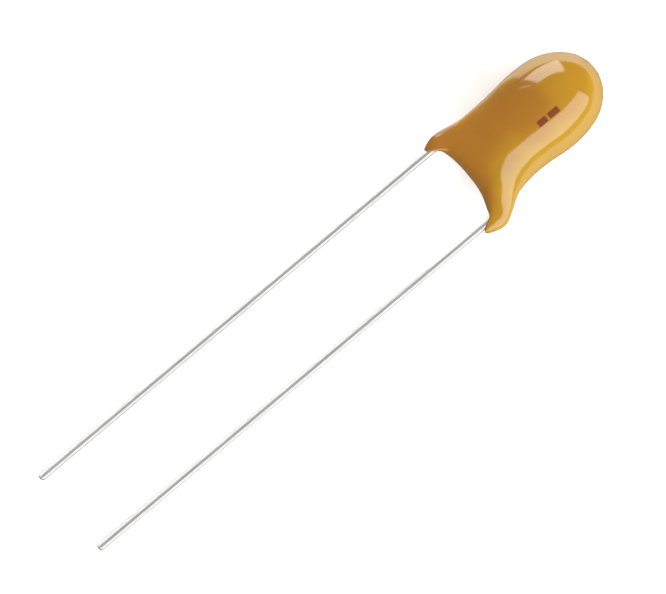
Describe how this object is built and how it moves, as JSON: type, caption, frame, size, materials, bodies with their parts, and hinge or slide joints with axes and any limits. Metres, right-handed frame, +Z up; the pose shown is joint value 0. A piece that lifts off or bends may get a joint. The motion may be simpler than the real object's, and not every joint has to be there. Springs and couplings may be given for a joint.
{
  "type": "tantalum capacitor",
  "caption": "Bead-shaped resin-dipped electrolytic capacitor with two long straight parallel wire leads leaving short resin legs, marked on one face beside its positive lead.",
  "frame": {"origin": "centre of the bounding box's underside, on the surface that the part lies on", "axes": "+X along the leads towards the crown of the bulb, +Y from the anode lead to the cathode lead, +Z up, square to the marked face but for the part's small resting tilt"},
  "size_m": [0.0382, 0.0064, 0.0048],
  "materials": {
    "epoxy_resin": "glossy dipped epoxy, smooth with a gentle waviness",
    "sintered_tantalum": "matt porous sintered metal",
    "graphite": "matt black coat",
    "silver_paint": "matt silver paint",
    "tantalum_wire": "drawn wire, blue-grey",
    "ptfe": "waxy white",
    "tinned_wire": "bright tinned wire with faint drawing lines",
    "solder": "dull reflowed solder"
  },
  "bodies": {
    "root": {"resin_coat": "epoxy_resin", "tantalum_slug": "sintered_tantalum", "graphite_coat": "graphite", "silver_coat": "silver_paint", "riser_wire": "tantalum_wire", "riser_washer": "ptfe", "anode_lead": "tinned_wire", "cathode_lead": "tinned_wire", "solder_joint": "solder"}
  },
  "joints": []
}
